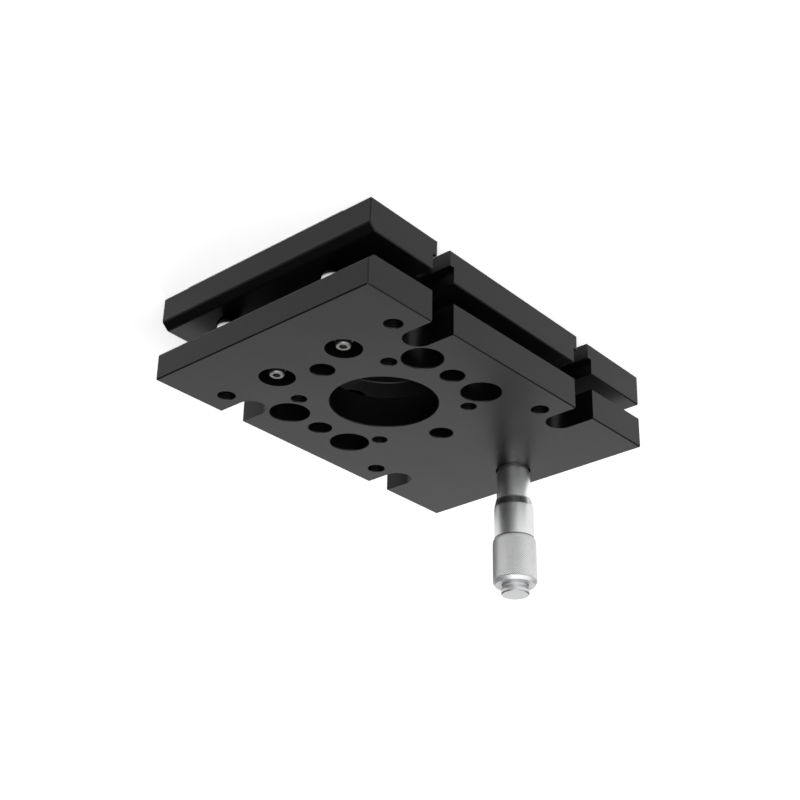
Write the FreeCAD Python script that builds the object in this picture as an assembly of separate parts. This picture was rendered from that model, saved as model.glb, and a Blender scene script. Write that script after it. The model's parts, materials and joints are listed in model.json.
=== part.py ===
import FreeCAD, Part
import math
import os

# Single-axis tilt stage, in millimetres.
# The origin is on the axis of the light aperture, at the underside of the base plate.
# +X runs along the plates from the ball hinge to the micrometer, +Z is up.
# The top plate and the micrometer are modelled level and then tilted about the ball hinge.

# Plates
plate_length = 143.7
plate_width = 95.0
base_thickness = 11.5
top_thickness = 11.5
plate_gap = 8.0
edge_break = 0.35
nose_chamfer_length = 2.6
nose_chamfer_height = 2.3
hole_break = 0.3

# The light aperture and the holes around it share one centre.
aperture_offset = 11.8
top_aperture_diameter = 36.8
base_aperture_diameter = 40.0

# The optical table's grid of tapped holes
table_grid = 25.0

# Open slots on a square, for cap screws into an optical table
slot_pitch = 3 * table_grid
slot_wide = 10.4
slot_narrow = 6.6
slot_head_depth = 5.75

# Holes of the top plate, around the aperture
ring_circle = 60.0
ring_hole = 8.0
inner_square = 40.6
inner_hole = 5.1
outer_square = 3 * table_grid
outer_hole = 5.8
access_spacing_x = 30.0
access_spacing_y = 60.0
access_hole = 13.6

# Counterbored holes of the base plate, under the access holes
base_screw_hole = 6.6
base_counterbore = 11.0
base_counterbore_depth = 6.5

# Ball hinge
pivot_inset = 10.05
pivot_spacing = 47.6
pivot_ball_diameter = 9.5
seat_diameter = 6.0
seat_length = 5.0
seat_angle = 120.0
seat_clearance = 0.05
press_clearance = 0.02

# The top plate leans toward the micrometer when the spindle is wound back.
rest_lean = 1.15

# Preload screws, washers and springs
preload_offset = 14.2
preload_spacing = 30.0
pocket_diameter = 12.4
pocket_depth = 9.0
pocket_floor_hole = 5.0
screw_head_diameter = 5.2
screw_head_height = 3.0
screw_shank_diameter = 3.0
screw_depth_below_face = 0.6
screw_thread_length = 8.0
screw_hex = 2.5
screw_hex_depth = 1.6
screw_fit = 0.05
washer_diameter = 7.0
washer_thickness = 0.5
spring_wire = 0.8
spring_diameter = 7.0
spring_turns = 3.5
spring_steps = 12

# Micrometer, seen from the top face of the top plate upward
micrometer_inset = 12.5
barrel_diameter = 12.3
barrel_foot_diameter = 11.2
barrel_foot_height = 1.1
barrel_recess = 12.9
barrel_recess_depth = 3.0
shank_diameter = 9.5
shank_fit = 0.05
barrel_height = 22.0
nut_thread_diameter = 8.8
nut_thread_length = 6.0
nut_diameter = 11.6
nut_length = 5.0
spindle_diameter = 6.35
spindle_fit = 0.05
thimble_bore = 12.6
thimble_lip_diameter = 13.1
thimble_lip_height = 12.2
thimble_lip_length = 0.4
thimble_bevel_length = 2.8
thimble_diameter = 14.4
thimble_wall_start = 41.2
thimble_wall = 2.9
grip_start = 27.0
grip_shoulder = 2.5
grip_diameter = 15.7
grip_bore = 13.6
grip_bevel_start = 43.5
grip_bevel_drop = 0.8
grip_end = 44.7
cap_neck_diameter = 9.4
cap_flare_start = 45.7
cap_rim_start = 46.9
cap_diameter = 10.1
cap_end = 48.2
cap_edge = 0.35
stub_diameter = 5.0
tip_ball_diameter = 4.0
tip_ball_grip = 0.7
tip_clearance = 0.1
pad_diameter = 10.0
pad_thickness = 3.0

# Screw that holds the thimble on the spindle
thimble_screw_head = 6.0
thimble_screw_head_height = 1.7
thimble_screw_shank = 2.5
thimble_screw_length = 8.0

# Set screw that clamps the micrometer in the top plate
set_screw_diameter = 4.0
set_screw_hex = 2.0
set_screw_hex_depth = 1.8
set_screw_recess = 0.8

# Small gaps, the overrun of a cut past its face, and how alike two heights are
turning_fit = 0.05
end_play = 0.1
overrun = 1.0
same_height = 1e-6

# Places worked out from the sizes
hinge_end = aperture_offset - plate_length / 2
drive_end = aperture_offset + plate_length / 2
half_width = plate_width / 2
top_bottom = base_thickness + plate_gap
top_face = top_bottom + top_thickness
pivot_x = hinge_end + pivot_inset
pivot_z = base_thickness + plate_gap / 2
preload_x = pivot_x + preload_offset
micrometer_x = drive_end - micrometer_inset
lever = micrometer_x - pivot_x
lean = math.radians(rest_lean)
contact_height = base_thickness - pivot_z + tip_ball_diameter / 2 + tip_clearance
tip_ball_z = pivot_z + (contact_height + lever * math.sin(lean)) / math.cos(lean)


def vector(x, y, z):
    return FreeCAD.Vector(x, y, z)


def rod(diameter, low, high, x=0.0, y=0.0):
    return Part.makeCylinder(diameter / 2, high - low, vector(x, y, low))


def drilled(diameter, low_face, high_face, x=0.0, y=0.0):
    # A hole right through a plate, with the rim broken at both faces
    radius = diameter / 2
    depth = hole_break + overrun
    return [
        rod(diameter, low_face - overrun, high_face + overrun, x, y),
        Part.makeCone(radius + depth, radius, depth, vector(x, y, low_face - overrun)),
        Part.makeCone(radius, radius + depth, depth, vector(x, y, high_face - hole_break)),
    ]


def turned(profile, x=0.0, y=0.0):
    # A closed outline of (radius, height) points turned about an upright axis
    points = [vector(radius, 0, height) for radius, height in profile]
    face = Part.Face(Part.makePolygon(points + points[:1]))
    solid = face.revolve(vector(0, 0, 0), vector(0, 0, 1), 360)
    solid.translate(vector(x, y, 0))
    return solid


def hex_prism(across_flats, low, high, x=0.0, y=0.0):
    radius = across_flats / math.sqrt(3)
    angles = [math.radians(60 * i) for i in range(6)]
    points = [vector(x + radius * math.cos(a), y + radius * math.sin(a), low) for a in angles]
    return Part.Face(Part.makePolygon(points + points[:1])).extrude(vector(0, 0, high - low))


def wire_outline(diameter, radius):
    # A six-sided outline of a wire at a radius from the upright axis, in the XZ plane
    angles = [math.radians(60 * i) for i in range(6)]
    points = [vector(radius + diameter / 2 * math.cos(a), 0, diameter / 2 * math.sin(a)) for a in angles]
    return Part.makePolygon(points + points[:1])


def edges_at(solid, height):
    return [edge for edge in solid.Edges if abs(edge.CenterOfMass.z - height) < same_height]


def corners(spacing_x, spacing_y):
    return [(i * spacing_x / 2, j * spacing_y / 2) for i in (-1, 1) for j in (-1, 1)]


def leaned(shape):
    # The top plate's resting lean about the line through the ball centres
    copy = shape.copy()
    copy.rotate(vector(pivot_x, 0, pivot_z), vector(0, 1, 0), rest_lean)
    return copy


def edge_slot(width, x, side, low, high):
    # A slot open at a long edge of the plate, with a round inner end
    radius = width / 2
    inner = side * slot_pitch / 2
    outer = side * (half_width + overrun)
    start = vector(x - radius, outer, low)
    turn_in = vector(x - radius, inner, low)
    bottom = vector(x, inner - side * radius, low)
    turn_out = vector(x + radius, inner, low)
    end = vector(x + radius, outer, low)
    edges = [
        Part.LineSegment(start, turn_in).toShape(),
        Part.Arc(turn_in, bottom, turn_out).toShape(),
        Part.LineSegment(turn_out, end).toShape(),
        Part.LineSegment(end, start).toShape(),
    ]
    return Part.Face(Part.Wire(edges)).extrude(vector(0, 0, high - low))


def slots(width, low, high):
    return [edge_slot(width, aperture_offset + side_x * slot_pitch / 2, side_y, low, high)
            for side_x in (-1, 1) for side_y in (-1, 1)]


def plate_blank(outline):
    # A side outline of (x, z) points drawn across the plate's width, with broken edges
    points = [vector(x, -half_width, z) for x, z in outline]
    blank = Part.Face(Part.makePolygon(points + points[:1])).extrude(vector(0, plate_width, 0))
    return blank.makeChamfer(edge_break, blank.Edges)


def base_plate():
    blank = plate_blank([
        (hinge_end, 0),
        (drive_end, 0),
        (drive_end, base_thickness),
        (hinge_end + nose_chamfer_length, base_thickness),
        (hinge_end, base_thickness - nose_chamfer_height),
    ])
    cuts = drilled(base_aperture_diameter, 0, base_thickness)
    cuts += slots(slot_narrow, -overrun, base_thickness + overrun)
    cuts += slots(slot_wide, base_thickness - slot_head_depth, base_thickness + overrun)
    for x, y in corners(access_spacing_x, access_spacing_y):
        cuts += drilled(base_screw_hole, 0, base_thickness, x, y)
        cuts.append(rod(base_counterbore, base_thickness - base_counterbore_depth,
                        base_thickness + overrun, x, y))
    for side in (-1, 1):
        cuts.append(rod(seat_diameter + 2 * press_clearance, base_thickness - seat_length,
                        base_thickness + overrun, pivot_x, side * pivot_spacing / 2))
        cuts.append(rod(screw_shank_diameter + 2 * screw_fit, base_thickness - screw_thread_length,
                        base_thickness + overrun, preload_x, side * preload_spacing / 2))
    cuts.append(rod(pad_diameter + 2 * press_clearance, base_thickness - pad_thickness,
                    base_thickness + overrun, micrometer_x, 0))
    return blank.cut(cuts)


def top_plate():
    blank = plate_blank([
        (hinge_end, top_bottom + nose_chamfer_height),
        (hinge_end + nose_chamfer_length, top_bottom),
        (drive_end, top_bottom),
        (drive_end, top_face),
        (hinge_end, top_face),
    ])
    low = top_bottom - overrun
    high = top_face + overrun
    cuts = drilled(top_aperture_diameter, top_bottom, top_face)
    cuts += slots(slot_wide, low, high)
    for x, y in ((1, 0), (-1, 0), (0, 1), (0, -1)):
        cuts += drilled(ring_hole, top_bottom, top_face, x * ring_circle / 2, y * ring_circle / 2)
    for spacing_x, spacing_y, diameter in (
        (inner_square, inner_square, inner_hole),
        (outer_square, outer_square, outer_hole),
        (access_spacing_x, access_spacing_y, access_hole),
    ):
        for x, y in corners(spacing_x, spacing_y):
            cuts += drilled(diameter, top_bottom, top_face, x, y)
    for side in (-1, 1):
        y = side * preload_spacing / 2
        cuts.append(rod(pocket_diameter, top_face - pocket_depth, high, preload_x, y))
        cuts.append(rod(pocket_floor_hole, low, high, preload_x, y))
        cuts.append(rod(seat_diameter + 2 * press_clearance, low, top_bottom + seat_length,
                        pivot_x, side * pivot_spacing / 2))
    cuts.append(rod(shank_diameter + 2 * shank_fit, low, high, micrometer_x))
    cuts.append(rod(barrel_recess, top_face - barrel_recess_depth, high, micrometer_x))
    cuts.append(set_screw_rod(set_screw_diameter + 2 * screw_fit, micrometer_x, drive_end + overrun))
    return blank.cut(cuts)


def seat_cone_depth():
    # How far the seat's point lies from the ball centre
    half_angle = math.radians(seat_angle / 2)
    return (pivot_ball_diameter / 2 + seat_clearance) / math.sin(half_angle)


def conical_seat(side, upper):
    # A hardened insert, flush with its plate, with a cone that the ball sits in
    y = side * pivot_spacing / 2
    reach = seat_cone_depth()
    radius = reach * math.tan(math.radians(seat_angle / 2))
    flip = 1 if upper else -1
    body = rod(seat_diameter, base_thickness - seat_length, base_thickness, pivot_x, y)
    if upper:
        body = rod(seat_diameter, top_bottom, top_bottom + seat_length, pivot_x, y)
    cone = Part.makeCone(radius, 0, reach, vector(pivot_x, y, pivot_z), vector(0, 0, flip))
    return body.cut(cone)


def vee_seat():
    # The same angle drawn along the hinge line, so that the second ball sets no distance
    y = pivot_spacing / 2
    reach = seat_cone_depth()
    half = reach * math.tan(math.radians(seat_angle / 2))
    length = seat_diameter + 2 * overrun
    points = [
        vector(pivot_x - half, y - length / 2, pivot_z),
        vector(pivot_x, y - length / 2, pivot_z + reach),
        vector(pivot_x + half, y - length / 2, pivot_z),
    ]
    groove = Part.Face(Part.makePolygon(points + points[:1])).extrude(vector(0, length, 0))
    return rod(seat_diameter, top_bottom, top_bottom + seat_length, pivot_x, y).cut(groove)


def pivot_ball(side):
    return Part.makeSphere(pivot_ball_diameter / 2, vector(pivot_x, side * pivot_spacing / 2, pivot_z))


def level_point_at_rest(x, z):
    # Where a point of the level top plate lies once the plate leans
    dx = x - pivot_x
    dz = z - pivot_z
    return (pivot_x + dx * math.cos(lean) + dz * math.sin(lean),
            pivot_z - dx * math.sin(lean) + dz * math.cos(lean))


def screw_top():
    return level_point_at_rest(preload_x, top_face)[1] - screw_depth_below_face


def preload_screw(side):
    y = side * preload_spacing / 2
    top = screw_top()
    head = rod(screw_head_diameter, top - screw_head_height, top, preload_x, y)
    head = head.makeChamfer(edge_break, edges_at(head, top))
    shank = rod(screw_shank_diameter, base_thickness - screw_thread_length + end_play,
                top - screw_head_height, preload_x, y)
    socket = hex_prism(screw_hex, top - screw_hex_depth, top + overrun, preload_x, y)
    return head.fuse(shank).removeSplitter().cut(socket)


def preload_washer(side):
    y = side * preload_spacing / 2
    high = screw_top() - screw_head_height
    low = high - washer_thickness
    ring = rod(washer_diameter, low, high, preload_x, y)
    return ring.cut(rod(screw_shank_diameter + 2 * screw_fit, low, high, preload_x, y))


def preload_spring(side):
    # A coil between the washer and the pocket floor, as short as the leaning plate leaves it
    floor_x, low = level_point_at_rest(preload_x, top_face - pocket_depth)
    low += spring_diameter / 2 * math.sin(lean) + spring_wire / 2
    high = screw_top() - screw_head_height - washer_thickness - spring_wire / 2
    steps = round(spring_turns * spring_steps)
    sections = []
    for step in range(steps + 1):
        # One outline of the wire, in the upright plane through the coil's axis
        outline = wire_outline(spring_wire, (spring_diameter - spring_wire) / 2)
        outline.rotate(vector(0, 0, 0), vector(0, 0, 1), 360 * step / spring_steps)
        outline.translate(vector(floor_x, side * preload_spacing / 2, low + (high - low) * step / steps))
        sections.append(outline)
    return Part.makeLoft(sections, True, True)


def contact_pad():
    pad = rod(pad_diameter, base_thickness - pad_thickness, base_thickness, micrometer_x)
    return pad.makeChamfer(edge_break, edges_at(pad, base_thickness))


def set_screw_rod(diameter, start, end):
    middle = (top_bottom + top_face) / 2
    return Part.makeCylinder(diameter / 2, end - start, vector(start, 0, middle), vector(1, 0, 0))


def barrel_set_screw():
    start = micrometer_x + shank_diameter / 2 + end_play
    end = drive_end - set_screw_recess
    middle = (top_bottom + top_face) / 2
    socket = hex_prism(set_screw_hex, 0, set_screw_hex_depth + overrun)
    socket.rotate(vector(0, 0, 0), vector(0, 1, 0), 90)
    socket.translate(vector(end - set_screw_hex_depth, 0, middle))
    return set_screw_rod(set_screw_diameter, start, end).cut(socket)


def micrometer_barrel():
    # Shank and narrower foot in the plate, graduated sleeve above it, threaded end for the adjusting nut
    bore = spindle_diameter / 2 + spindle_fit
    shoulder = top_face - barrel_recess_depth
    sleeve_start = top_face + barrel_foot_height
    thread_start = top_face + barrel_height
    thread_end = thread_start + nut_thread_length
    return turned([
        (bore, top_bottom),
        (shank_diameter / 2, top_bottom),
        (shank_diameter / 2, shoulder),
        (barrel_foot_diameter / 2, shoulder),
        (barrel_foot_diameter / 2, sleeve_start),
        (barrel_diameter / 2, sleeve_start),
        (barrel_diameter / 2, thread_start),
        (nut_thread_diameter / 2, thread_start),
        (nut_thread_diameter / 2, thread_end),
        (bore, thread_end),
    ], micrometer_x)


def adjusting_nut():
    low = top_face + barrel_height + end_play
    high = low + nut_length
    ring = rod(nut_diameter, low, high, micrometer_x)
    return ring.cut(rod(nut_thread_diameter + 2 * turning_fit, low, high, micrometer_x))


def spindle():
    # The rod ends in a stub for the thimble above and a cupped seat for the tip ball below
    low = tip_ball_z + tip_ball_grip
    wall = top_face + thimble_wall_start - end_play
    stub_end = top_face + thimble_wall_start + thimble_wall - end_play
    radius = spindle_diameter / 2
    body = turned([
        (0, low),
        (radius - tip_ball_grip, low),
        (radius, low + tip_ball_grip),
        (radius, wall),
        (stub_diameter / 2, wall),
        (stub_diameter / 2, stub_end),
        (0, stub_end),
    ], micrometer_x)
    cup = Part.makeSphere(tip_ball_diameter / 2, vector(micrometer_x, 0, tip_ball_z))
    hole = rod(thimble_screw_shank + 2 * turning_fit, stub_end - thimble_screw_length,
               stub_end + overrun, micrometer_x)
    return body.cut([cup, hole])


def spindle_tip_ball():
    return Part.makeSphere(tip_ball_diameter / 2, vector(micrometer_x, 0, tip_ball_z))


def thimble():
    lip = top_face + thimble_lip_height
    bevel = lip + thimble_lip_length
    body = bevel + thimble_bevel_length
    step = top_face + grip_start
    ceiling = top_face + thimble_wall_start
    end = ceiling + thimble_wall
    inner = grip_bore / 2 - turning_fit
    return turned([
        (thimble_bore / 2, lip),
        (thimble_lip_diameter / 2, lip),
        (thimble_lip_diameter / 2, bevel),
        (thimble_diameter / 2, body),
        (thimble_diameter / 2, step),
        (inner, step),
        (inner, end),
        (stub_diameter / 2 + turning_fit, end),
        (stub_diameter / 2 + turning_fit, ceiling),
        (thimble_bore / 2, ceiling),
    ], micrometer_x)


def knurled_grip():
    # A ring over the thimble with a rounded lower shoulder, a bevel and an inward lip on top
    low = top_face + grip_start
    shoulder = low + grip_shoulder
    bevel = top_face + grip_bevel_start
    end = top_face + grip_end
    ceiling = top_face + thimble_wall_start + thimble_wall
    inner = grip_bore / 2
    outer = grip_diameter / 2
    start = thimble_diameter / 2
    neck = cap_neck_diameter / 2 + end_play
    swell = outer - start
    bulge = vector(start + swell * math.sin(math.radians(45)), 0,
                   shoulder - grip_shoulder * math.cos(math.radians(45)))
    outline = [
        (outer, bevel),
        (outer - grip_bevel_drop, end),
        (neck, end),
        (neck, ceiling),
        (inner, ceiling),
        (inner, low),
        (start, low),
    ]
    points = [vector(outer, 0, shoulder)] + [vector(r, 0, z) for r, z in outline]
    edges = [Part.LineSegment(a, b).toShape() for a, b in zip(points, points[1:])]
    edges.append(Part.Arc(points[-1], bulge, points[0]).toShape())
    ring = Part.Face(Part.Wire(edges)).revolve(vector(0, 0, 0), vector(0, 0, 1), 360)
    ring.translate(vector(micrometer_x, 0, 0))
    return ring


def end_cap():
    low = top_face + thimble_wall_start + thimble_wall
    flare = top_face + cap_flare_start
    rim = top_face + cap_rim_start
    end = top_face + cap_end
    hollow = low + thimble_screw_head_height + end_play
    return turned([
        (thimble_screw_head / 2 + end_play, low),
        (cap_neck_diameter / 2, low),
        (cap_neck_diameter / 2, flare),
        (cap_diameter / 2, rim),
        (cap_diameter / 2, end - cap_edge),
        (cap_diameter / 2 - cap_edge, end),
        (0, end),
        (0, hollow),
        (thimble_screw_head / 2 + end_play, hollow),
    ], micrometer_x)


def thimble_screw():
    low = top_face + thimble_wall_start + thimble_wall
    shank_end = low - thimble_screw_length + 2 * end_play
    return turned([
        (0, shank_end),
        (thimble_screw_shank / 2, shank_end),
        (thimble_screw_shank / 2, low),
        (thimble_screw_head / 2, low),
        (thimble_screw_head / 2, low + thimble_screw_head_height),
        (0, low + thimble_screw_head_height),
    ], micrometer_x)


def build():
    pieces = {
        "base_plate": base_plate(),
        "base_seat_left": conical_seat(1, False),
        "base_seat_right": conical_seat(-1, False),
        "pivot_ball_left": pivot_ball(1),
        "pivot_ball_right": pivot_ball(-1),
        "preload_screw_left": preload_screw(1),
        "preload_screw_right": preload_screw(-1),
        "preload_washer_left": preload_washer(1),
        "preload_washer_right": preload_washer(-1),
        "preload_spring_left": preload_spring(1),
        "preload_spring_right": preload_spring(-1),
        "contact_pad": contact_pad(),
    }
    leaning = {
        "top_plate": top_plate(),
        "cone_seat": conical_seat(-1, True),
        "vee_seat": vee_seat(),
        "micrometer_barrel": micrometer_barrel(),
        "adjusting_nut": adjusting_nut(),
        "barrel_set_screw": barrel_set_screw(),
        "spindle": spindle(),
        "spindle_tip_ball": spindle_tip_ball(),
        "thimble": thimble(),
        "knurled_grip": knurled_grip(),
        "end_cap": end_cap(),
        "thimble_screw": thimble_screw(),
    }
    for name, shape in leaning.items():
        pieces[name] = leaned(shape)
    return pieces


os.makedirs("parts", exist_ok=True)
for name, shape in build().items():
    shape.exportStep("parts/" + name + ".step")
    print(name, len(shape.Solids), shape.isValid(), round(shape.Volume, 1))
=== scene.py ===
import json
import math

import bmesh
import bpy
from mathutils import Matrix, Vector


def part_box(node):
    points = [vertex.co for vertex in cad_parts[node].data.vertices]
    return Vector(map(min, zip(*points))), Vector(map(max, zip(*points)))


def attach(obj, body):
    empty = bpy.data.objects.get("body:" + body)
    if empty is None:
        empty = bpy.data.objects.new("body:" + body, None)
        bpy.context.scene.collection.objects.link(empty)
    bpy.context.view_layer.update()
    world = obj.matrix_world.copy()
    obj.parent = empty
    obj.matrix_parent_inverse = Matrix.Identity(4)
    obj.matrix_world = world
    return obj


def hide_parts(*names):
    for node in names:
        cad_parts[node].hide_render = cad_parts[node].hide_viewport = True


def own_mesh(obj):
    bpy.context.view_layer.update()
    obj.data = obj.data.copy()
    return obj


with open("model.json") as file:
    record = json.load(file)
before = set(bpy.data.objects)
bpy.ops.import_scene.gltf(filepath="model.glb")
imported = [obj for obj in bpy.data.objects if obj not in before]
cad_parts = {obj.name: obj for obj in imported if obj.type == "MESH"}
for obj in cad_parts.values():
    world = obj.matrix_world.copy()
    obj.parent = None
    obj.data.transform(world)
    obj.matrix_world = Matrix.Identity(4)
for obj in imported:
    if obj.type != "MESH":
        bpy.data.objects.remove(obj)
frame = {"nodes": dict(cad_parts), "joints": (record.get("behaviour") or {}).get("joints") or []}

bl_info = {
    "name": "Tilt stage looks",
    "version": (1, 0, 0),
    "blender": (4, 5, 0),
    "location": "3D View > Sidebar > Tilt stage",
    "description": "Finishes, fine detail and studio for a single-axis tilt stage",
    "category": "Object",
}

MM = 0.001
TAU = 2 * math.pi
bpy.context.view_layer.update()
NODES = frame["nodes"]
JOINTS = {joint["name"]: joint for joint in frame["joints"]}
TRAVEL = JOINTS["spindle_feed"]["range_m"][1]

# The micrometer's own upright frame: its origin is where its axis leaves the top face
# of the top plate, and its Z points away from the plate.
DOWN = Vector(JOINTS["spindle_feed"]["axis"])
LEAN = math.atan2(-DOWN.x, -DOWN.z)
AXIS_POINT = Vector(JOINTS["thimble_turn"]["pos_m"])
PIVOT = Vector(JOINTS["tilt"]["pos_m"])
MICROMETER = Matrix.Translation(AXIS_POINT) @ Matrix.Rotation(LEAN, 4, "Y")
# The place and turn of the same frame, for a Mapping node
AXIS_VIEW = (AXIS_POINT, (0, LEAN, 0))
# The level frame of the top plate, turned about the ball hinge as the plate rests
TOP_PLATE = Matrix.Translation(PIVOT) @ Matrix.Rotation(LEAN, 4, "Y") @ Matrix.Translation(-PIVOT)

# Vertices this near to a node's lower end belong to its foot.
FOOT_REACH = 0.05 * MM
# Points of a turned piece's outline closer than this are one point.
WELD = 0.0001 * MM
# Sockets of a Mix node that mixes colours
MIX_FACTOR, MIX_FIRST, MIX_SECOND, MIX_RESULT = 0, 6, 7, 2

FLOOR_RADIUS = 30.0
LAMP_TARGET = Vector((0, 0, 0.02))
# Lamps: the property that holds the power, the side of the square and the place
LAMPS = {
    "key_lamp": ("key_power", 1.3, (0.35, 1.15, 0.75)),
    "back_lamp": ("back_power", 1.1, (0.85, -0.75, 0.55)),
    "front_lamp": ("front_power", 1.1, (-0.75, 0.65, 1.05)),
}
# The camera's place and directions in the level frame of the top plate
CAMERA_PLACE = Vector((-0.34182, 0.31413, 0.27039))
CAMERA_AHEAD = Vector((0.66066, -0.59318, -0.46006))
CAMERA_UP = Vector((-0.3553, 0.2922, -0.8879))


def points_in(node, place):
    """A CAD node's vertices, seen from a frame of its own."""
    back = place.inverted()
    return [back @ vertex.co for vertex in NODES[node].data.vertices]


def box_in(node, place):
    """Lowest and highest corner of a CAD node in a frame of its own."""
    points = points_in(node, place)
    low = Vector([min(point[i] for point in points) for i in range(3)])
    high = Vector([max(point[i] for point in points) for i in range(3)])
    return low, high


def radii_at_foot(node):
    """Radii of a turned CAD node's vertices at its lower end, about the micrometer's axis."""
    points = points_in(node, MICROMETER)
    foot = min(point.z for point in points) + FOOT_REACH
    return [math.hypot(point.x, point.y) for point in points if point.z < foot]


class TiltStageSizes(bpy.types.PropertyGroup):
    """Sizes of the detail that the looks add to the frame."""

    knurl_count: bpy.props.IntProperty(
        name="Knurl diamonds", description="Diamonds around the grip", default=58, min=12, max=90)
    knurl_rows: bpy.props.IntProperty(
        name="Knurl rows", description="Rows of diamonds along the grip", default=17, min=4, max=40)
    knurl_depth: bpy.props.FloatProperty(
        name="Knurl depth", description="Depth of the knurl's grooves", default=0.3 * MM, unit="LENGTH",
        precision=5)
    shoulder: bpy.props.FloatProperty(
        name="Grip shoulder", description="Height of the grip's rounded lower shoulder",
        default=2.5 * MM, unit="LENGTH", precision=5)
    groove: bpy.props.FloatProperty(
        name="Grip groove", description="Height of the groove under the grip's shoulder",
        default=0.35 * MM, unit="LENGTH", precision=5)
    bevel_height: bpy.props.FloatProperty(
        name="Grip bevel height", description="Height of the bevel at the grip's upper end",
        default=1.2 * MM, unit="LENGTH", precision=5)
    bevel_drop: bpy.props.FloatProperty(
        name="Grip bevel depth", description="How far the grip's bevel runs in", default=0.8 * MM,
        unit="LENGTH", precision=5)
    collar_height: bpy.props.FloatProperty(
        name="Collar height", description="Height of the grip's end wall around the cap's neck",
        default=0.45 * MM, unit="LENGTH", precision=5)
    collar_inset: bpy.props.FloatProperty(
        name="Collar inset", description="How far the grip's end wall reaches under the cap's rim",
        default=0.2 * MM, unit="LENGTH", precision=5)
    thimble_divisions: bpy.props.IntProperty(
        name="Thimble divisions", description="Divisions around the thimble's edge", default=50, min=10,
        max=100)
    mark_length: bpy.props.FloatProperty(
        name="Mark length", description="Length of the scale's short marks", default=1.1 * MM,
        unit="LENGTH", precision=5)
    bevel_bottom: bpy.props.FloatProperty(
        name="Thimble lip", description="Height of the straight lip under the thimble's bevel",
        default=0.4 * MM, unit="LENGTH", precision=5)
    bevel_top: bpy.props.FloatProperty(
        name="Thimble bevel", description="Height of the thimble's bevelled edge", default=3.2 * MM,
        unit="LENGTH", precision=5)
    line_width: bpy.props.FloatProperty(
        name="Line width", description="Width of the scale's engraved lines", default=0.13 * MM,
        unit="LENGTH", precision=5)
    digit_height: bpy.props.FloatProperty(
        name="Digit height", description="Height of the scale's numbers", default=1.2 * MM, unit="LENGTH",
        precision=5)
    thread_pitch: bpy.props.FloatProperty(
        name="Thread pitch", description="Pitch of the tapped holes", default=1.0 * MM, unit="LENGTH",
        precision=5)
    thread_depth: bpy.props.FloatProperty(
        name="Thread depth", description="Depth of the tapped holes' ridges", default=0.35 * MM,
        unit="LENGTH", precision=5)
    inner_square: bpy.props.FloatProperty(
        name="Inner square", description="Side of the square of the inner tapped holes",
        default=40.6 * MM, unit="LENGTH")
    inner_hole: bpy.props.FloatProperty(
        name="Inner tapped hole", description="Diameter of the inner tapped holes",
        default=5.1 * MM, unit="LENGTH", precision=5)
    outer_square: bpy.props.FloatProperty(
        name="Outer square", description="Side of the square of the outer tapped holes",
        default=75.0 * MM, unit="LENGTH")
    outer_hole: bpy.props.FloatProperty(
        name="Outer tapped hole", description="Diameter of the outer tapped holes",
        default=5.8 * MM, unit="LENGTH", precision=5)
    # Painted shade on the hinge balls: the height over which it fades out.
    grease_edge: bpy.props.FloatProperty(
        name="Seat shade edge", description="Height over which the painted shade on the hinge balls fades out",
        default=0.8 * MM, unit="LENGTH", precision=5)
    spring_wire: bpy.props.FloatProperty(
        name="Spring wire", description="Diameter of the preload springs' wire", default=0.8 * MM,
        unit="LENGTH", precision=5)
    spring_turns: bpy.props.FloatProperty(
        name="Spring turns", description="Turns of each preload spring", default=3.5)


class TiltStageFinishes(bpy.types.PropertyGroup):
    """Colours of the stage's finishes."""

    anodised: bpy.props.FloatVectorProperty(
        name="Black anodising", description="Colour of the plates", subtype="COLOR",
        default=(0.0012, 0.0012, 0.0013), min=0, max=1)
    chrome: bpy.props.FloatVectorProperty(
        name="Satin chrome", description="Colour of the micrometer", subtype="COLOR",
        default=(0.72, 0.725, 0.73), min=0, max=1)
    steel: bpy.props.FloatVectorProperty(
        name="Steel", description="Colour of screws, balls and seats", subtype="COLOR",
        default=(0.62, 0.62, 0.61), min=0, max=1)
    brass: bpy.props.FloatVectorProperty(
        name="Brass", description="Colour of the adjusting nut", subtype="COLOR",
        default=(0.66, 0.47, 0.2), min=0, max=1)


class TiltStageStudio(bpy.types.PropertyGroup):
    """Lamps, backdrop and camera."""

    lens: bpy.props.FloatProperty(
        name="Lens", description="Focal length for a 36 mm sensor", default=69.6, min=10, max=300)
    key_power: bpy.props.FloatProperty(
        name="Key lamp", description="Power of the large soft lamp on the left side", default=8.5,
        unit="POWER")
    back_power: bpy.props.FloatProperty(
        name="Back lamp", description="Power of the soft lamp behind the micrometer", default=4.4,
        unit="POWER")
    front_power: bpy.props.FloatProperty(
        name="Front lamp", description="Power of the soft lamp above the camera", default=14.0,
        unit="POWER")
    world_strength: bpy.props.FloatProperty(
        name="Surround", description="Brightness of the surround", default=0.06)
    floor_colour: bpy.props.FloatVectorProperty(
        name="Floor", description="Colour of the floor", subtype="COLOR", default=(0.8, 0.8, 0.8),
        min=0, max=1)
    slot_reach: bpy.props.FloatProperty(
        name="Slot reach", description="How far the base plate's open slots let the floor be seen",
        default=12 * MM, unit="LENGTH")
    floor_rise: bpy.props.FloatProperty(
        name="Floor rise", description="Growth of the floor's glow over each metre of distance",
        default=0.35)
    floor_lift: bpy.props.FloatProperty(
        name="Floor lift", description="Glow of the floor toward the camera", default=0.5)


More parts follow.
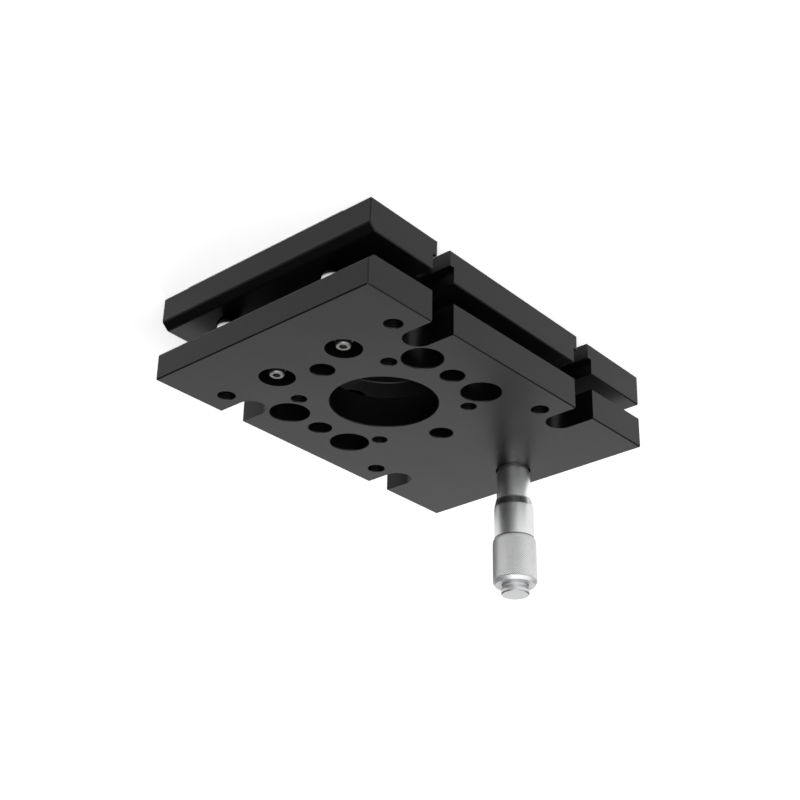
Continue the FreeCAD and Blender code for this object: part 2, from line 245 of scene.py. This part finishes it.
class Value:
    """A number that varies over a surface. Arithmetic on it adds Math nodes."""

    def __init__(self, finish, socket):
        self.finish = finish
        self.socket = socket

    def math(self, operation, *others):
        inputs = dict(enumerate((self,) + others))
        return self.finish.add("ShaderNodeMath", {"operation": operation}, inputs).value()

    def after(self, first, operation):
        """The same for an operation with a plain number in front."""
        return self.finish.add("ShaderNodeMath", {"operation": operation}, {0: first, 1: self}).value()

    def __add__(self, other):
        return self.math("ADD", other)

    __radd__ = __add__

    def __sub__(self, other):
        return self.math("SUBTRACT", other)

    def __rsub__(self, other):
        return self.after(other, "SUBTRACT")

    def __mul__(self, other):
        return self.math("MULTIPLY", other)

    __rmul__ = __mul__

    def __truediv__(self, other):
        return self.math("DIVIDE", other)

    def __rtruediv__(self, other):
        return self.after(other, "DIVIDE")

    def sine(self):
        return self.math("SINE")

    def cosine(self):
        return self.math("COSINE")

    def turn_of(self, other):
        return self.math("ARCTAN2", other)

    def within(self, middle, reach):
        return self.math("COMPARE", middle, reach)

    def above(self, edge):
        return self.math("GREATER_THAN", edge)

    def below(self, edge):
        return self.math("LESS_THAN", edge)


class Added:
    """A node just added, whose outputs are read by name."""

    def __init__(self, finish, node):
        self.finish = finish
        self.node = node

    def value(self, name=0):
        return Value(self.finish, self.node.outputs[name])

    def link(self, name=0):
        return self.node.outputs[name]


class Finish:
    """One material, with one method that adds any node to it."""

    def __init__(self, name):
        self.material = bpy.data.materials.new(name)
        self.material.use_nodes = True
        self.tree = self.material.node_tree
        self.shader = self.tree.nodes["Principled BSDF"]

    def add(self, kind, options=None, inputs=None):
        """Any node, with its options set before its sockets."""
        node = self.tree.nodes.new(kind)
        for key, option in (options or {}).items():
            setattr(node, key, option)
        for key, given in (inputs or {}).items():
            self.feed(node.inputs[key], given)
        return Added(self, node)

    def feed(self, socket, given):
        if isinstance(given, Value):
            given = given.socket
        if isinstance(given, bpy.types.NodeSocket):
            self.tree.links.new(given, socket)
        else:
            socket.default_value = given

    def surface(self, **inputs):
        for name, given in inputs.items():
            self.feed(self.shader.inputs[name.replace("_", " ")], given)

    def place(self, location=(0, 0, 0), rotation=(0, 0, 0), scale=(1, 1, 1)):
        """Object coordinates seen from a frame of the piece's own."""
        where = self.add("ShaderNodeTexCoord").link("Object")
        moved = self.add("ShaderNodeMapping", {"vector_type": "TEXTURE"},
                         {"Vector": where, "Location": location, "Rotation": rotation})
        if scale == (1, 1, 1):
            return moved.link()
        return self.add("ShaderNodeVectorMath", {"operation": "MULTIPLY"},
                        {0: moved.link(), 1: scale}).link()

    def axes(self, *view):
        """X, Y and Z apart, seen from the same kind of frame."""
        where = self.add("ShaderNodeSeparateXYZ", None, {0: self.place(*view)})
        return [where.value(axis) for axis in "XYZ"]

    def noise(self, vector, size, detail=2.0):
        return self.add("ShaderNodeTexNoise", None,
                        {"Vector": vector, "Scale": 1 / size, "Detail": detail}).value("Fac")

    def mix(self, factor, first, second):
        return self.add("ShaderNodeMix", {"data_type": "RGBA"},
                        {MIX_FACTOR: factor, MIX_FIRST: first, MIX_SECOND: second}).link(MIX_RESULT)

    def shades(self, factor, dark, light):
        """A colour between two plain colours."""
        return self.mix(factor, (*dark, 1), (*light, 1))

    def cover(self, factor, colour):
        """Lays a plain colour over the colour so far, where the factor is 1."""
        under = self.shader.inputs["Base Color"].links[0].from_socket
        self.surface(Base_Color=self.mix(factor, under, (*colour, 1)))

    def bump(self, height, depth, strength=1.0):
        self.surface(Normal=self.add("ShaderNodeBump", None, {
            "Height": height, "Distance": depth, "Strength": strength}).link())


def scaled(colour, factor):
    return tuple(min(1.0, channel * factor) for channel in colour)


def anodised_finish(colour, name):
    """Blasted and dyed aluminium: a fine even grain, faint cloudiness and long soft streaks."""
    finish = Finish(name)
    where = finish.place()
    cloud = finish.noise(where, size=26 * MM, detail=3.0)
    streak = finish.noise(finish.place(scale=(0.08, 1.0, 1.0)), size=1.6 * MM)
    grain = finish.noise(where, size=0.16 * MM)
    tone = cloud * 0.6 + streak * 0.4
    finish.surface(
        Base_Color=finish.shades(tone, scaled(colour, 0.75), scaled(colour, 1.35)),
        Roughness=cloud * 0.08 + streak * 0.05 + 0.3,
        Specular_IOR_Level=0.26,
    )
    finish.bump(grain, depth=0.012 * MM, strength=0.6)
    return finish


def turned_finish(colour, name, roughness=0.26, rings=0.05 * MM, relief=0.006 * MM):
    """Satin metal turned in a lathe: fine rings around the micrometer's axis."""
    finish = Finish(name)
    where = finish.place(*AXIS_VIEW, scale=(0.12, 0.12, 1.0))
    ring = finish.noise(where, size=rings)
    cloud = finish.noise(where, size=3 * MM)
    finish.surface(
        Base_Color=finish.shades(cloud, scaled(colour, 0.93), scaled(colour, 1.04)),
        Metallic=1.0,
        Roughness=ring * 0.1 + cloud * 0.06 + roughness,
    )
    finish.bump(ring, depth=relief, strength=0.7)
    return finish


def graduated_finish(colour, name, roughness, relief, marks):
    """Satin metal with black engraved marks, drawn around the micrometer's axis; on the thimble the black
    also lays painted shade in the groove under the grip.
    """
    finish = turned_finish(colour, name, roughness, relief=relief)
    mark = marks(*finish.axes(*AXIS_VIEW))
    # The black covers the engraved marks and, on the thimble, painted shade in the groove under the grip.
    finish.cover(mark, (0.01, 0.01, 0.01))
    finish.surface(Metallic=1 - mark)
    return finish


def knurl_finish(colour, name, roughness):
    """Satin metal with a diamond knurl, with painted shade in its grooves."""
    finish = turned_finish(colour, name, roughness, rings=0.2 * MM)
    sizes = settings()
    low, high = box_in("knurled_grip", MICROMETER)
    start = low.z + sizes.shoulder
    end = high.z - sizes.bevel_height
    x, y, z = finish.axes(*AXIS_VIEW)
    around = (y.turn_of(x) * sizes.knurl_count).cosine()
    along = ((z - start) * (TAU * sizes.knurl_rows / (end - start))).cosine()
    # Painted shade in the knurl's grooves: how far the diamond pattern darkens the metal toward dark grey.
    groove_shade = 0.6
    finish.cover(around * along * z.below(end) * groove_shade, (0.1, 0.1, 0.1))
    return finish


def thimble_marks(x, y, z):
    """Marks around the bevelled edge, longer at every fifth, and painted shade: the neck is painted black
    in the groove under the grip.
    """
    sizes = settings()
    grip = box_in("knurled_grip", MICROMETER)[0].z
    lip = box_in("thimble", MICROMETER)[0].z
    turn = y.turn_of(x)
    # A wave runs around the edge, and a mark covers each crest of it.
    crest = 0.93
    slow_crest = 0.9
    every = (turn * sizes.thimble_divisions).sine().above(crest)
    fifth = (turn * (sizes.thimble_divisions / 5)).sine().above(slow_crest)
    half_short = sizes.mark_length * 0.4
    half_long = sizes.mark_length * 0.6
    short = z.within(lip + half_short, half_short)
    long = z.within(lip + half_long, half_long)
    ring = every * short.math("MAXIMUM", fifth * long)
    # Painted shade: everything above the grip's foot, the neck seen in the groove under the grip, is
    # painted black.
    return ring.math("MAXIMUM", z.above(grip))


def sleeve_marks(x, y, z):
    """A datum line along the sleeve, millimetre marks on one side and half marks on the other."""
    sizes = settings()
    zero = box_in("thimble", MICROMETER)[0].z
    front = x.above(0)
    line = y.within(0, sizes.line_width / 2)
    below = zero - z
    millimetres = below * (1 / MM)
    width = sizes.line_width / 2 / MM
    middle = sizes.mark_length / 2
    scale = below.within(TRAVEL / 2, TRAVEL / 2 + sizes.line_width)
    whole = (millimetres + 0.5).math("FRACT").within(0.5, width) * y.within(middle, middle)
    half = millimetres.math("FRACT").within(0.5, width) * y.within(-middle, middle)
    return front * scale * line.math("MAXIMUM", whole.math("MAXIMUM", half))


def thread_finish(colour, name):
    """Anodised threads: the same black, dull in its grooves."""
    finish = Finish(name)
    cloud = finish.noise(finish.place(), size=1 * MM, detail=3.0)
    finish.surface(
        Base_Color=finish.shades(cloud, scaled(colour, 0.7), scaled(colour, 1.3)),
        Roughness=cloud * 0.1 + 0.5,
        Specular_IOR_Level=0.05,
    )
    return finish


def steel_finish(colour, name, roughness=0.18, grain=0.12 * MM, depth=0.004 * MM):
    """Hardened or stainless steel with a fine ground grain."""
    finish = Finish(name)
    where = finish.place()
    fine = finish.noise(where, size=grain, detail=3.0)
    cloud = finish.noise(where, size=2.5 * MM)
    finish.surface(
        Base_Color=finish.shades(cloud, scaled(colour, 0.88), scaled(colour, 1.05)),
        Metallic=1.0,
        Roughness=fine * 0.12 + roughness,
    )
    finish.bump(fine, depth, strength=0.6)
    return finish


def greased_finish(colour, name):
    """Steel balls of the hinge: bright near the top plate, darker toward the base, where painted shade
    stands for the shadow and dark reflection of the seat.
    """
    finish = steel_finish(colour, name, roughness=0.12, grain=0.3 * MM, depth=0.0005 * MM)
    height = finish.axes()[2]
    ragged = height + finish.noise(finish.place(), size=1.2 * MM) * 0.3 * MM
    unshaded = (ragged - PIVOT.z) / settings().grease_edge - 0.5
    # Painted shade: the ball is darkened below the pivot's height, where it faces the dark seat.
    finish.cover(1 - unshaded, (0.004, 0.004, 0.004))
    return finish


def ink_finish(name):
    """Black paint in an engraved line."""
    finish = Finish(name)
    grain = finish.noise(finish.place(), size=0.3 * MM)
    finish.surface(Base_Color=(0.012, 0.012, 0.012, 1), Roughness=grain * 0.2 + 0.5)
    return finish


def settings():
    return bpy.context.scene.tilt_sizes


def finish_of(name):
    """A finish, made once and shared. The frame's own plain materials have other names."""
    label = name + "_look"
    made = bpy.data.materials.get(label)
    if made:
        return made
    look = bpy.context.scene.tilt_finishes
    makers = {
        "black_anodised": lambda: anodised_finish(look.anodised, label),
        "thread_black": lambda: thread_finish(look.anodised, label),
        "satin_chrome": lambda: turned_finish(scaled(look.chrome, 0.82), label, roughness=0.32),
        "graduated_thimble": lambda: graduated_finish(
            look.chrome, label, roughness=0.26, relief=0.006 * MM, marks=thimble_marks),
        "graduated_sleeve": lambda: graduated_finish(
            scaled(look.chrome, 1.3), label, roughness=0.29, relief=0.008 * MM, marks=sleeve_marks),
        "knurl_chrome": lambda: knurl_finish(scaled(look.chrome, 1.08), label, roughness=0.5),
        "ground_steel": lambda: steel_finish(look.steel, label),
        "stainless": lambda: steel_finish(scaled(look.steel, 0.35), label, roughness=0.35),
        "ball_steel": lambda: steel_finish(
            look.steel, label, roughness=0.03, grain=0.3 * MM, depth=0.0005 * MM),
        "greased_ball": lambda: greased_finish(look.steel, label),
        "spring_steel": lambda: steel_finish(
            scaled(look.steel, 0.7), label, roughness=0.25, grain=0.3 * MM),
        "engraved_black": lambda: ink_finish(label),
        "turned_brass": lambda: turned_finish(look.brass, label, roughness=0.3),
    }
    return makers[name]().material


def new_piece(name, mesh, body, finish, smooth=35):
    """Turns a bmesh into a finished piece that rides on a body."""
    data = bpy.data.meshes.new(name)
    mesh.to_mesh(data)
    mesh.free()
    piece = bpy.data.objects.new(name, data)
    bpy.context.scene.collection.objects.link(piece)
    data.materials.append(finish_of(finish))
    data.shade_smooth()
    data.set_sharp_from_angle(angle=math.radians(smooth))
    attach(piece, body)
    return piece


def outline(mesh, points):
    """A run of joined edges through (radius, height) points in the XZ plane, each point numbered."""
    number = mesh.verts.layers.int.new("number")
    verts = []
    for i, (radius, height) in enumerate(points):
        verts += bmesh.ops.create_vert(mesh, co=(radius, 0, height))["vert"]
        verts[i][number] = i
    return [mesh.edges.new(pair) for pair in zip(verts, verts[1:])], verts


def lathe(points, steps):
    """A closed ring or solid: the outline is closed and turned once around Z."""
    mesh = bmesh.new()
    edges, verts = outline(mesh, points)
    if points[0][0] > 0 or points[-1][0] > 0:
        edges.append(mesh.edges.new((verts[-1], verts[0])))
    bmesh.ops.spin(mesh, geom=verts + edges, cent=(0, 0, 0), axis=(0, 0, 1), angle=TAU, steps=steps,
                   use_merge=True, use_duplicate=False)
    bmesh.ops.remove_doubles(mesh, verts=mesh.verts, dist=WELD)
    bmesh.ops.recalc_face_normals(mesh, faces=mesh.faces)
    return mesh


def arc_points(start, end, count):
    """A quarter bulge from start to end in (radius, height), leaving start outward."""
    points = []
    for i in range(1, count):
        turn = i / count * math.pi / 2
        points.append((start[0] + (end[0] - start[0]) * math.sin(turn),
                       end[1] - (end[1] - start[1]) * math.cos(turn)))
    return points


class TILTSTAGE_OT_carried_nodes(bpy.types.Operator):
    """Give the construction's own pieces their finishes"""

    bl_idname = "tiltstage.carried_nodes"
    bl_label = "Finish the carried pieces"

    def execute(self, context):
        plan = {
            "black_anodised": ("base_plate", "top_plate"),
            "ground_steel": ("base_seat_left", "base_seat_right", "cone_seat", "vee_seat", "contact_pad",
                             "spindle"),
            "ball_steel": ("spindle_tip_ball",),
            # The hinge balls carry painted shade toward the base.
            "greased_ball": ("pivot_ball_left", "pivot_ball_right"),
            "stainless": ("preload_screw_left", "preload_screw_right", "preload_washer_left",
                          "preload_washer_right", "barrel_set_screw", "thimble_screw"),
            "satin_chrome": ("end_cap",),
            "graduated_thimble": ("thimble",),
            "graduated_sleeve": ("micrometer_barrel",),
            "turned_brass": ("adjusting_nut",),
        }
        for finish, nodes in plan.items():
            for node in nodes:
                NODES[node].material_slots[0].material = finish_of(finish)
        return {"FINISHED"}


class TILTSTAGE_OT_knurled_grip(bpy.types.Operator):
    """Model the grip with its diamond knurl, shoulder and bevel"""

    bl_idname = "tiltstage.knurled_grip"
    bl_label = "Knurled grip"

    def execute(self, context):
        sizes = settings()
        low, high = box_in("knurled_grip", MICROMETER)
        thimble = box_in("thimble", MICROMETER)[1].x
        collar = box_in("end_cap", MICROMETER)[1].x - sizes.collar_inset
        outer = high.x
        shoulder = low.z + sizes.shoulder
        bevel = high.z - sizes.bevel_height
        inner = min(radii_at_foot("knurled_grip"))
        rows = 2 * sizes.knurl_rows
        columns = 2 * sizes.knurl_count
        rounded = 7  # steps of the shoulder's bulge
        start = low.z + sizes.groove
        points = [(inner, low.z), (inner, start), (thimble, start)]
        first = len(points)
        points += arc_points((thimble, start), (outer, shoulder), rounded)
        points += [(outer, shoulder + (bevel - shoulder) * i / rows) for i in range(rows + 1)]
        points += [
            (outer - sizes.bevel_drop, high.z),
            (collar, high.z),
            (collar, high.z - sizes.collar_height),
            (inner, high.z - sizes.collar_height),
        ]
        mesh = lathe(points, columns)
        number = mesh.verts.layers.int["number"]
        step = TAU / columns
        # Every second point is pressed in, less deep where the shoulder begins.
        least = 0.2
        for vert in mesh.verts:
            row = vert[number] - first
            column = round(math.atan2(vert.co.y, vert.co.x) / step)
            if 0 < row < rounded + rows - 1 and (column + row) % 2 == 0:
                depth = sizes.knurl_depth * min(1.0, row / rounded + least)
                vert.co.xy *= 1 - depth / outer
        bmesh.ops.triangulate(mesh, faces=mesh.faces, quad_method="SHORT_EDGE", ngon_method="BEAUTY")
        mesh.transform(MICROMETER)
        grip = new_piece("grip_knurled", mesh, "thimble", "knurl_chrome", smooth=12)
        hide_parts("knurled_grip")
        return {"FINISHED"}


class TILTSTAGE_OT_scale_numbers(bpy.types.Operator):
    """Write the generic numbers of the sleeve's and the thimble's scales"""

    bl_idname = "tiltstage.scale_numbers"
    bl_label = "Scale numbers"

    def execute(self, context):
        sizes = settings()
        sleeve = box_in("micrometer_barrel", MICROMETER)[1].x
        low, high = box_in("thimble", MICROMETER)
        side = (sizes.mark_length + sizes.digit_height * 0.6) / sleeve
        every = 5
        gap = 0.2 * MM
        for reading in range(0, int(TRAVEL / MM) + 1, every):
            height = low.z - max(reading * MM, sizes.digit_height / 2 + gap)
            self.number(f"sleeve_number_{reading}", reading, (sleeve, 0), side, height, "top",
                        "satin_sleeve")
        lip = max(radii_at_foot("thimble"))
        slope = (high.x - lip) / (sizes.bevel_top - sizes.bevel_bottom)
        middle = (sizes.bevel_bottom + sizes.bevel_top) / 2
        count = 10
        step = sizes.thimble_divisions // count
        # A mark stands a quarter of a division on, and its number one division beside it.
        beside = 1.25
        for i in range(count):
            angle = (i * step + beside) / sizes.thimble_divisions * TAU
            self.number(f"thimble_number_{i * step}", i * step, ((lip + high.x) / 2, slope), angle,
                        low.z + middle, "thimble", "satin_chrome")
        return {"FINISHED"}

    def number(self, name, value, cone, angle, height, body, slot):
        """Digits laid on a cylinder or a cone, upright for someone who faces them from the side."""
        radius, slope = cone
        ink = 0.012 * MM
        size_per_height = 1.4
        curve = bpy.data.curves.new(name, "FONT")
        curve.body = str(value)
        curve.size = settings().digit_height * size_per_height
        curve.align_x = "CENTER"
        curve.align_y = "CENTER"
        curve.resolution_u = 2
        holder = bpy.data.objects.new(name + "_text", curve)
        bpy.context.scene.collection.objects.link(holder)
        data = bpy.data.meshes.new_from_object(holder)
        bpy.data.objects.remove(holder)
        mesh = bmesh.new()
        mesh.from_mesh(data)
        bmesh.ops.triangulate(mesh, faces=mesh.faces)
        for vert in mesh.verts:
            reach = radius + slope * vert.co.y + ink
            turn = angle + vert.co.x / radius
            vert.co = (reach * math.cos(turn), reach * math.sin(turn), height + vert.co.y)
        mesh.transform(MICROMETER)
        new_piece(name, mesh, body, "engraved_black")


class TILTSTAGE_OT_hole_threads(bpy.types.Operator):
    """Cut the threads of the tapped holes in the top plate"""

    bl_idname = "tiltstage.hole_threads"
    bl_label = "Threads of the tapped holes"

    def execute(self, context):
        sizes = settings()
        low, high = box_in("top_plate", TOP_PLATE)
        pitch = sizes.thread_pitch
        teeth = int((high.z - low.z) / pitch) - 1
        base = low.z + (high.z - low.z - teeth * pitch) / 2
        top = base + teeth * pitch
        clearance = 0.02 * MM  # from the hole's wall
        thickness = 0.03 * MM  # at the foot of a tooth
        ends = {"hinge": -1, "drive": 1}
        sides = {"right": -1, "left": 1}
        for name, square, hole in (("inner", sizes.inner_square, sizes.inner_hole),
                                   ("outer", sizes.outer_square, sizes.outer_hole)):
            wall = hole / 2 - clearance
            root = wall - thickness
            crest = wall - sizes.thread_depth
            points = [(wall, base)]
            for i in range(teeth):
                points += [(root, base + i * pitch), (crest, base + (i + 0.5) * pitch)]
            points += [(root, top), (wall, top)]
            for end, x in ends.items():
                for side, y in sides.items():
                    mesh = lathe(points, steps=32)
                    mesh.transform(TOP_PLATE @ Matrix.Translation((x * square / 2, y * square / 2, 0)))
                    new_piece(f"thread_{name}_{end}_{side}", mesh, "top",
                              "thread_black", smooth=20)
        return {"FINISHED"}


class TILTSTAGE_OT_preload_springs(bpy.types.Operator):
    """Wind the two preload springs"""

    bl_idname = "tiltstage.preload_springs"
    bl_label = "Preload springs"

    def execute(self, context):
        sizes = settings()
        steps_per_turn = 28
        upright = Matrix.Rotation(math.pi / 2, 3, "X")
        for side in ("left", "right"):
            low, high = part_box(f"preload_spring_{side}")
            wire = sizes.spring_wire / 2
            radius = (high.x - low.x) / 2 - wire
            centre = (low + high) / 2
            rise = high.z - low.z - sizes.spring_wire
            steps = int(steps_per_turn * sizes.spring_turns)
            mesh = bmesh.new()
            ring = bmesh.ops.create_circle(mesh, segments=10, radius=wire, cap_ends=False)["verts"]
            bmesh.ops.rotate(mesh, verts=ring, cent=(0, 0, 0), matrix=upright)
            bmesh.ops.translate(mesh, verts=ring, vec=(radius, 0, 0))
            bmesh.ops.spin(mesh, geom=mesh.verts[:] + mesh.edges[:], cent=(0, 0, 0), axis=(0, 0, 1),
                           dvec=(0, 0, rise / steps), angle=TAU * sizes.spring_turns, steps=steps,
                           use_merge=False, use_duplicate=False)
            ends = [edge for edge in mesh.edges if edge.is_boundary]
            bmesh.ops.holes_fill(mesh, edges=ends, sides=0)
            bmesh.ops.recalc_face_normals(mesh, faces=mesh.faces)
            mesh.transform(Matrix.Translation((centre.x, centre.y, low.z + wire)))
            spring = new_piece(f"spring_coil_{side}", mesh, "top", "spring_steel",
                               smooth=60)
            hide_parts(f"preload_spring_{side}")
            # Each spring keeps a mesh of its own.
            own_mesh(spring)
        return {"FINISHED"}


class TILTSTAGE_OT_studio(bpy.types.Operator):
    """Set up the floor, the soft lamps, the dim surround and the camera"""

    bl_idname = "tiltstage.studio"
    bl_label = "Studio"

    def execute(self, context):
        studio = context.scene.tilt_studio
        self.floor(studio)
        self.surround(context, studio)
        self.lamps(studio)
        self.camera(context, studio)
        context.scene.view_settings.view_transform = "Standard"
        return {"FINISHED"}

    def floor(self, studio):
        mesh = bmesh.new()
        bmesh.ops.create_circle(mesh, cap_ends=True, segments=64, radius=FLOOR_RADIUS)
        data = bpy.data.meshes.new("floor")
        mesh.to_mesh(data)
        mesh.free()
        floor = bpy.data.objects.new("floor", data)
        bpy.context.scene.collection.objects.link(floor)
        finish = Finish("floor_white")
        # The floor glows for the eye and in reflections, but not under the base plate. The glow
        # grows to plain white with distance, where the lamps no longer reach the floor.
        low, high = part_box("base_plate")
        middle = (low + high) / 2
        half = (high - low) / 2
        x, y = finish.axes()[:2]
        under = x.within(middle.x, half.x) * y.within(middle.y, half.y - studio.slot_reach)
        far = finish.add("ShaderNodeVectorMath", {"operation": "LENGTH"}, {0: finish.place()})
        glow = (far.value("Value") * studio.floor_rise + studio.floor_lift).math("MINIMUM", 1.0)
        ray = finish.add("ShaderNodeLightPath")
        seen = ray.value("Is Camera Ray") + ray.value("Is Glossy Ray") + ray.value("Is Transmission Ray")
        finish.surface(
            Base_Color=(*studio.floor_colour, 1),
            Roughness=0.8,
            Emission_Color=finish.shades((1 - under) * glow, (0, 0, 0), (1, 1, 1)),
            Emission_Strength=seen,
        )
        data.materials.append(finish.material)

    def surround(self, context, studio):
        world = bpy.data.worlds.new("dim_surround")
        context.scene.world = world
        world.use_nodes = True
        background = world.node_tree.nodes["Background"]
        background.inputs["Color"].default_value = (1, 1, 1, 1)
        background.inputs["Strength"].default_value = studio.world_strength

    def lamps(self, studio):
        for name, (power, size, place) in LAMPS.items():
            lamp = bpy.data.lights.new(name, "AREA")
            lamp.shape = "SQUARE"
            lamp.size = size
            lamp.energy = getattr(studio, power)
            holder = bpy.data.objects.new(name, lamp)
            bpy.context.scene.collection.objects.link(holder)
            holder.location = place
            holder.rotation_euler = (LAMP_TARGET - holder.location).to_track_quat("-Z", "Y").to_euler()

    def camera(self, context, studio):
        # The photograph was taken from above and is shown upside down: the camera is rolled over.
        place = TOP_PLATE @ CAMERA_PLACE
        turn = TOP_PLATE.to_3x3()
        ahead = (turn @ CAMERA_AHEAD).normalized()
        right = ahead.cross(turn @ CAMERA_UP).normalized()
        up = right.cross(ahead)
        lens = bpy.data.cameras.new("camera")
        lens.sensor_width = 36
        lens.lens = studio.lens
        lens.clip_end = 20
        camera = bpy.data.objects.new("camera", lens)
        context.scene.collection.objects.link(camera)
        camera.matrix_world = Matrix.Translation(place) @ Matrix((right, up, -ahead)).transposed().to_4x4()
        context.scene.camera = camera


class TILTSTAGE_PT_panel(bpy.types.Panel):
    """The stage's pieces in the sidebar"""

    bl_idname = "TILTSTAGE_PT_panel"
    bl_label = "Tilt stage"
    bl_space_type = "VIEW_3D"
    bl_region_type = "UI"
    bl_category = "Tilt stage"

    def draw(self, context):
        for name in STEPS:
            self.layout.operator(name)


OPERATORS = (
    TILTSTAGE_OT_carried_nodes,
    TILTSTAGE_OT_knurled_grip,
    TILTSTAGE_OT_scale_numbers,
    TILTSTAGE_OT_hole_threads,
    TILTSTAGE_OT_preload_springs,
    TILTSTAGE_OT_studio,
)
STEPS = tuple(operator.bl_idname for operator in OPERATORS)
CLASSES = (TiltStageSizes, TiltStageFinishes, TiltStageStudio, *OPERATORS, TILTSTAGE_PT_panel)


def register():
    for each in CLASSES:
        bpy.utils.register_class(each)
    bpy.types.Scene.tilt_sizes = bpy.props.PointerProperty(type=TiltStageSizes)
    bpy.types.Scene.tilt_finishes = bpy.props.PointerProperty(type=TiltStageFinishes)
    bpy.types.Scene.tilt_studio = bpy.props.PointerProperty(type=TiltStageStudio)


def unregister():
    del bpy.types.Scene.tilt_studio
    del bpy.types.Scene.tilt_finishes
    del bpy.types.Scene.tilt_sizes
    for each in reversed(CLASSES):
        bpy.utils.unregister_class(each)


def main():
    register()
    for name in STEPS:
        group, step = name.split(".")
        getattr(getattr(bpy.ops, group), step)()


if __name__ == "__main__":
    main()
